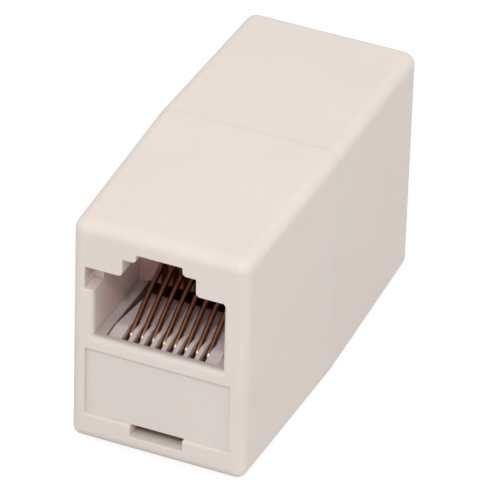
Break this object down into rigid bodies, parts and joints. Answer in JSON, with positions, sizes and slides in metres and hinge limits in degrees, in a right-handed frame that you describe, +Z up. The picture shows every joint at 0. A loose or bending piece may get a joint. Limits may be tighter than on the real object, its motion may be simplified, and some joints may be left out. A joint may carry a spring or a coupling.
{
  "type": "rj45 inline coupler",
  "caption": "Rectangular in-line coupler that joins two modular network plugs end to end, with a latched and keyed plug socket in each end face.",
  "frame": {"origin": "middle of the underside, at the lowest line where the two half shells meet", "axes": "+Y along the coupler's length, the shown socket faces -Y; +Z up, towards the latch channels; +X to the right seen from the shown socket"},
  "size_m": [0.0168, 0.0372, 0.0229],
  "materials": {
    "housing": "satin, moulded, warm white",
    "carrier": "satin, moulded, warm white, slightly darker",
    "tray": "satin, moulded, light grey",
    "contact": "gold-plated spring wire",
    "board": "solder resist",
    "solder": "solder, satin"
  },
  "bodies": {
    "root": {"front_half_shell": "housing", "rear_half_shell": "housing", "front_contact_carrier": "carrier", "rear_contact_carrier": "carrier", "front_wire_tray": "tray", "rear_wire_tray": "tray", "link_board": "board", "front_solder_joints": "solder", "rear_solder_joints": "solder", "front_contact_1": "contact", "front_contact_2": "contact", "front_contact_3": "contact", "front_contact_4": "contact", "front_contact_5": "contact", "front_contact_6": "contact", "front_contact_7": "contact", "front_contact_8": "contact", "rear_contact_1": "contact", "rear_contact_2": "contact", "rear_contact_3": "contact", "rear_contact_4": "contact", "rear_contact_5": "contact", "rear_contact_6": "contact", "rear_contact_7": "contact", "rear_contact_8": "contact"}
  },
  "joints": []
}
